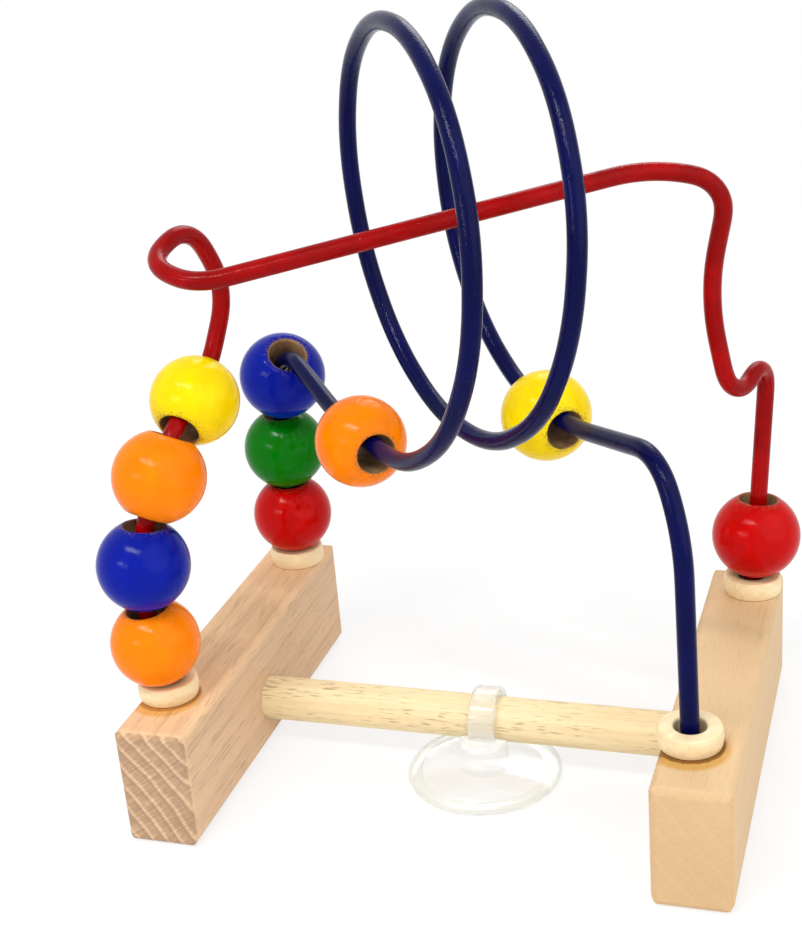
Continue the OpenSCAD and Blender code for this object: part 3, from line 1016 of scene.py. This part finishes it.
@dataclass
class Beads:
    """Ten turned and painted wooden beads."""

    sizes: MazeSizes
    bead_d: float = 20
    small_d: float = 19.4
    large_d: float = 20.6
    bore_d: float = 8.6
    bead_gap: float = 0.05
    low_gap: float = 0.85
    bow_gap: float = 1.55
    lean_gap: float = 3
    hang_gap: float = 0.6
    axis_share: float = 1.15
    middle_share: float = 0.37
    right_share: float = 0.41
    bend_share: float = 0.36
    mouth: float = 0.35
    bend_mouth: float = 1.0
    raw_share: float = 0.35
    worn_w: float = 2.6
    wall_shares: Sequence[float] = (0.6, 0.2, -0.2, -0.6)
    round_steps: int = 45
    mouth_steps: int = 8
    steps: int = 88
    crease: float = 40
    bore: BoreFinish = BoreFinish("raw_bore", (0.40, 0.24, 0.115), (0.16, 0.08, 0.037))
    beads: list[Bead] = field(default_factory=list)

    def half(self, d: float) -> float:
        """Half the length of a bead's bore."""
        return math.sqrt(d * d - self.bore_d**2) / 2

    def thread(self, node: str, route: Route, s: float, d: float, paint: Paint, loose: bool = True) -> None:
        """Puts a bead on a wire.

        Args:
            node: the bead's CAD node.
            route: the wire.
            s: length of wire at the bead's middle.
            d: the bead's diameter.
            paint: its colour.
            loose: whether it hangs on the wire, and does not ride a bend.
        """
        h = self.half(d)
        span = h * (self.axis_share if loose else 1)
        axis = (route.at(s + span) - route.at(s - span)).normalized()
        mid = (route.at(s) * 2 + route.at(s + h) + route.at(s - h)) / 4
        if loose:
            play = (self.bore_d - self.sizes.wire_d) / 2 - self.hang_gap
            mid = mid + (axis * axis.z - Vector((0, 0, 1))) * ((1 - axis.z**2) * play)
        mouth = self.mouth if loose else self.bend_mouth
        self.beads.append(Bead(node, d, paint, mid, axis, mouth))

    def _stack(self, route: Route, s: float, *beads: tuple[str, float, Paint, float]) -> None:
        """Threads beads one above the other.

        Args:
            route: the wire.
            s: length of wire under the stack.
            beads: each bead's CAD node, diameter and paint, and the gap under it.
        """
        for node, d, paint, gap in beads:
            s += self.half(d) + gap
            self.thread(node, route, s, d, paint)
            s += self.half(d)

    def _under(self, steep: float) -> float:
        """Length of wire under the lowest bead of a leg with a given rise in each unit of length."""
        lean = math.acos(steep)
        rise = self.sizes.foot_depth + self.sizes.collar_t + self.bead_gap
        return rise / math.cos(lean) + self.bore_d / 2 * math.tan(lean)

    def thread_all(self) -> None:
        """Threads both stacks, then the beads further along the blue wire and the red wire's last one."""
        red, blue = self.sizes.red_route(), self.sizes.blue_route()
        self._stack(
            red,
            self._under(red.headings[0].z),
            ("bead_orange_low", self.small_d, Paint.ORANGE, 0),
            ("bead_blue_front", self.bead_d, Paint.BLUE, self.low_gap),
            ("bead_orange_high", self.bead_d, Paint.ORANGE, self.bow_gap),
            ("bead_yellow_left", self.small_d, Paint.YELLOW, self.lean_gap),
        )
        self._stack(
            blue,
            self._under(steep=1.0),
            ("bead_red_back", self.small_d, Paint.RED, 0),
            ("bead_green_back", self.bead_d, Paint.GREEN, self.bead_gap),
        )
        s = blue.runs[0] + self.bend_share * blue.bends[1]
        self.thread("bead_blue_back", blue, s, self.large_d, Paint.BLUE, loose=False)
        before_coil, after_coil = 2, len(blue.spots) - 5
        s = self._on_leg(blue, before_coil, self.middle_share)
        self.thread("bead_orange_middle", blue, s, self.bead_d, Paint.ORANGE)
        s = self._on_leg(blue, after_coil, self.right_share)
        self.thread("bead_yellow_right", blue, s, self.bead_d, Paint.YELLOW)
        s = red.length - self._under(-red.headings[-1].z) - self.half(self.bead_d)
        self.thread("bead_red_right", red, s, self.bead_d, Paint.RED)

    @staticmethod
    def _on_leg(route: Route, i: int, share: float) -> float:
        """Length of wire from its first foot to a share of one of its legs."""
        before = sum(route.runs[:i]) + sum(route.bends[: i + 1])
        return before - route.reach[i] + share * (route.spots[i + 1] - route.spots[i]).length

    def build(self) -> None:
        """Turns the beads, paints them and sets them down on their wires."""
        self.thread_all()
        bore = self.bore.make()
        paints = {paint: PaintFinish(paint.slot, paint).make() for paint in Paint}
        for bead in self.beads:
            piece = turn_profile(bead.node + "_turned", self._profile(bead), self.steps)
            dress(piece, paints[bead.paint], bore)
            self._mark_mouths(piece)
            limit = (self.bore_d / 2 + self.raw_share * bead.mouth) * MM
            for face in piece.data.polygons:
                if face.center.xy.length < limit:
                    face.material_index = 1
            turn = bead.axis.to_track_quat("Z", "Y").to_matrix().to_4x4()
            set_down(piece, Matrix.Translation(bead.mid * MM) @ turn)
            smooth(piece, self.crease)
            seat(piece, bead.node, bead.node)

    def _mark_mouths(self, piece: bpy.types.Object) -> None:
        """Notes on a bead, still on the lathe, how near each place is to a mouth, for the paint."""
        bore, fade = self.bore_d / 2 * MM, self.worn_w * MM
        near = [max(0.0, 1 - (v.co.xy.length - bore) / fade) for v in piece.data.vertices]
        piece.data.attributes.new("mouth", "FLOAT", "POINT").data.foreach_set("value", near)

    def _profile(self, bead: Bead) -> list[Spot]:
        """A bead's section: the round outside, the softened mouths and the bore.

        Args:
            bead: the bead.

        Returns:
            Places round the section.
        """
        r, bore, mouth = bead.diameter / 2, self.bore_d / 2, bead.mouth
        x = bore + mouth
        z = math.sqrt((r - mouth) ** 2 - x * x)
        tip = math.degrees(math.atan2(z, x))
        outside = arc((0, 0), r, -tip, tip, self.round_steps)
        upper = arc((x, z), mouth, tip, 180, self.mouth_steps)[1:]
        lower = arc((x, -z), mouth, 180, 360 - tip, self.mouth_steps)[:-1]
        wall = [(bore, z * share) for share in self.wall_shares]
        return outside + upper + wall + lower


@dataclass
class SuctionCup:
    """The clear suction cup: a thin dished disc with a thick rim, a hub and a strap round the dowel."""

    sizes: MazeSizes
    right: float = 4.6
    forward: float = 5
    cup_d: float = 34.6
    rim_w: float = 2.9
    rim_t: float = 2.0
    web_t: float = 1.3
    hollow: float = 1.2
    hub_d: float = 11
    root_r: float = 1
    cap_r: float = 0.8
    strap_w: float = 6
    strap_t: float = 1.8
    strap_gap: float = 0.3
    strap_edge: float = 0.55
    under_shares: Sequence[float] = (0.0, 0.25, 0.5, 0.7, 0.85, 0.95, 1.0)
    web_shares: Sequence[float] = (0.03, 0.2, 0.4, 0.6, 0.8, 1.0)
    rim_steps: int = 13
    steps: int = 128
    crease: float = 40

    def build(self) -> None:
        """Models the cup as one solid and puts it on its body."""
        dowel_y, dowel_h = -self.sizes.dowel_forward, self.sizes.dowel_h
        disc = turn_profile("suction_cup_clear", self._disc(), self.steps)
        at = (self.right * MM, (dowel_y - self.forward) * MM, 0)
        set_down(disc, Matrix.Translation(at))
        lay = Matrix.Translation((self.right * MM, dowel_y * MM, dowel_h * MM))
        lay = lay @ Matrix.Rotation(math.pi / 2, 4, "Y")
        strap = turn_profile("strap", self._strap(), self.steps)
        set_down(strap, lay)
        self._combine(disc, strap, "UNION")
        gap = self._gap()
        set_down(gap, lay)
        self._combine(disc, gap, "DIFFERENCE")
        smooth(disc, self.crease)
        rim, strap_z = self.cup_d / 2 - self.rim_w, dowel_h - self.sizes.dowel_d / 2
        dress(disc, ClearFinish("clear_plastic", at[:2], rim * MM, strap_z * MM).make())
        seat(disc, Body.CUP.value, "suction_cup")

    def _combine(self, piece: bpy.types.Object, other: bpy.types.Object, how: str) -> None:
        """Joins or cuts a piece with another one, which is used up.

        Args:
            piece: the piece that stays.
            other: the piece that is used up.
            how: union or difference.
        """
        choose(piece)
        tool = piece.modifiers.new("fit", "BOOLEAN")
        tool.operation = how
        tool.object = other
        tool.solver = "EXACT"
        bpy.ops.object.modifier_apply(modifier=tool.name)
        bpy.data.objects.remove(other)

    def _disc(self) -> list[Spot]:
        """Section of the disc and hub.

        Returns:
            Places round the section.
        """
        out, rim, t = self.cup_d / 2, self.cup_d / 2 - self.rim_w, self.rim_t
        hub, top = self.hub_d / 2, self.sizes.dowel_h - self.sizes.dowel_d / 4
        root, cap = self.root_r, self.cap_r
        under = [(rim * k, self.hollow * (1 - k * k)) for k in self.under_shares]
        edge = arc((out - t / 2, t / 2), t / 2, -90, 90, self.rim_steps)
        inner = arc((rim + t / 4, t * 0.75), t / 4, 90, 170)
        web = [
            (rim - (rim - hub - root) * k, self.web_t + self.hollow * (1 - (1 - k) ** 2))
            for k in self.web_shares
        ]
        foot = arc((hub + root, self.web_t + self.hollow + root), root, 270, 180)[1:]
        crown = arc((hub - cap, top - cap), cap, 0, 90)
        return under + edge + inner + web + foot + crown + [(0.0, top)]

    def _strap(self) -> list[Spot]:
        """Section of the strap, about the dowel's axis: a flat band with soft edges.

        Returns:
            Places round the section.
        """
        e = self.strap_edge
        low = self.sizes.dowel_d / 2 + self.strap_gap
        outer, inner, side = low + self.strap_t - e, low + e, self.strap_w / 2 - e
        corners = ((outer, side), (inner, side), (inner, -side), (outer, -side))
        return [spot for i, corner in enumerate(corners) for spot in arc(corner, e, 90 * i, 90 * i + 90)]

    def _gap(self) -> bpy.types.Object:
        """A round bar about the upright axis: the room that the hub leaves for the dowel."""
        clear_selection()
        radius = (self.sizes.dowel_d / 2 + self.strap_gap) * MM
        bpy.ops.mesh.primitive_cylinder_add(vertices=self.steps, radius=radius, depth=self.cup_d * MM)
        return bpy.context.object


@dataclass(frozen=True)
class Lamp:
    """A soft oval lamp: where it hangs, the height that it points at, its width and height, and watts."""

    name: str
    place: Place
    aim_z: float
    size: Spot
    power: float

    def hang(self) -> None:
        """Hangs the lamp and points it at the part."""
        bpy.ops.object.light_add(type="AREA", location=self.place)
        lamp = bpy.context.object
        lamp.name = self.name
        lamp.data.shape = "ELLIPSE"
        lamp.data.size, lamp.data.size_y = self.size
        lamp.data.energy = self.power
        aim = Vector((0, 0, self.aim_z)) - Vector(self.place)
        lamp.rotation_euler = aim.to_track_quat("-Z", "Y").to_euler()


@dataclass
class Studio:
    """White floor, soft lights and the camera."""

    image: tuple[int, int] = (802, 928)
    focal_px: float = 1659.31
    eye: Place = (97.82, -312.57, 209.13)
    azimuth: float = 19.33
    elevation: float = 22.55
    roll: float = -4.97
    sensor: float = 36.0
    clip_start: float = 0.01
    floor_size: float = 9.0
    floor_glow: float = 0.75
    glow_fade: Spot = (0.2, 0.6)
    floor_tones: tuple[Colour, Colour] = ((0.90, 0.895, 0.89), (0.915, 0.915, 0.912))
    world_light: float = 0.55
    world_tint: Colour = (1.0, 0.995, 0.985)
    lamps: Sequence[Lamp] = (
        Lamp("key", (-0.14, -0.5, 0.84), 0.06, (0.7, 0.032), 5.0),
        Lamp("side", (-0.42, -0.69, 0.37), 0.08, (0.4, 0.05), 0.95),
        Lamp("fill", (0.75, -0.35, 0.55), 0.06, (1.35, 1.35), 4.8),
        Lamp("back", (-0.05, 0.8, 0.75), 0.08, (0.6, 0.6), 3.2),
    )

    def build(self) -> None:
        """Makes the floor, lights and camera."""
        self._floor()
        self._world()
        for lamp in self.lamps:
            lamp.hang()
        self._camera()

    def _camera(self) -> None:
        """Puts the camera where the photograph was taken from."""
        a, e, t = (math.radians(v) for v in (self.azimuth, self.elevation, self.roll))
        back = Vector((math.sin(a) * math.cos(e), -math.cos(a) * math.cos(e), math.sin(e)))
        right = (-back).cross(Vector((0, 0, 1))).normalized()
        up = right.cross(-back)
        right, up = right * math.cos(t) + up * math.sin(t), up * math.cos(t) - right * math.sin(t)
        bpy.ops.object.camera_add()
        camera = bpy.context.object
        camera.name = "camera"
        rows = Matrix((right, up, back)).transposed().to_4x4()
        camera.matrix_world = Matrix.Translation(Vector(self.eye) * MM) @ rows
        camera.data.sensor_fit = "HORIZONTAL"
        camera.data.sensor_width = self.sensor
        camera.data.lens = self.focal_px * self.sensor / self.image[0]
        camera.data.clip_start = self.clip_start
        bpy.context.scene.camera = camera

    def _floor(self) -> None:
        """A wide white floor that glows a little towards the camera and keeps the shadows."""
        clear_selection()
        bpy.ops.mesh.primitive_plane_add(size=self.floor_size)
        floor = bpy.context.object
        floor.name = "floor"
        material, b = start_material("floor_white")
        p = b.place()
        colour = b.blend(b.noise(p, 3.0).above(0.3, 0.7), *self.floor_tones)
        matt = b.node("ShaderNodeBsdfDiffuse", None, {"Color": colour})
        glow = b.node("ShaderNodeEmission", None, {"Color": (1.0, 1.0, 1.0, 1.0), "Strength": 1.0})
        x, y, _ = b.axes(p)
        away = x.hypot(y).above(*self.glow_fade)
        share = self._seen(b) * (self.floor_glow + away * (1 - self.floor_glow))
        b.close(b.node("ShaderNodeMixShader", None, {0: share, 1: matt, 2: glow}))
        dress(floor, material)

    @staticmethod
    def _seen(b: Bench) -> Sock:
        """Mask of the rays that show the background: from the camera, from gloss and through glass."""
        rays = ("Is Camera Ray", "Is Glossy Ray", "Is Transmission Ray")
        camera, glossy, through = (b.node("ShaderNodeLightPath", output=ray) for ray in rays)
        return (camera + glossy + through).above(0.0, 1.0)

    def _world(self) -> None:
        """Even light from all round, which is white to the camera, to gloss and through glass."""
        world = bpy.data.worlds.new("studio")
        bpy.context.scene.world = world
        world.use_nodes = True
        b = Bench(world.node_tree)
        level = b.node("ShaderNodeMapRange", None, {"Value": self._seen(b), "To Min": self.world_light})
        back = b.tree.nodes["Background"]
        back.inputs["Color"].default_value = (*self.world_tint, 1.0)
        b.tree.links.new(level.link, back.inputs["Strength"])


def main() -> None:
    """Builds the maze's pieces in order, then the studio."""
    logging.basicConfig(level=logging.INFO)
    bpy.context.scene.view_settings.view_transform = "Standard"
    sizes = MazeSizes()
    pieces = [kind(sizes) for kind in (Timber, Wires, Collars, Beads, SuctionCup)]
    for maker in (*pieces, Studio()):
        log.info("building %s", type(maker).__name__)
        maker.build()


if __name__ == "__main__":
    main()
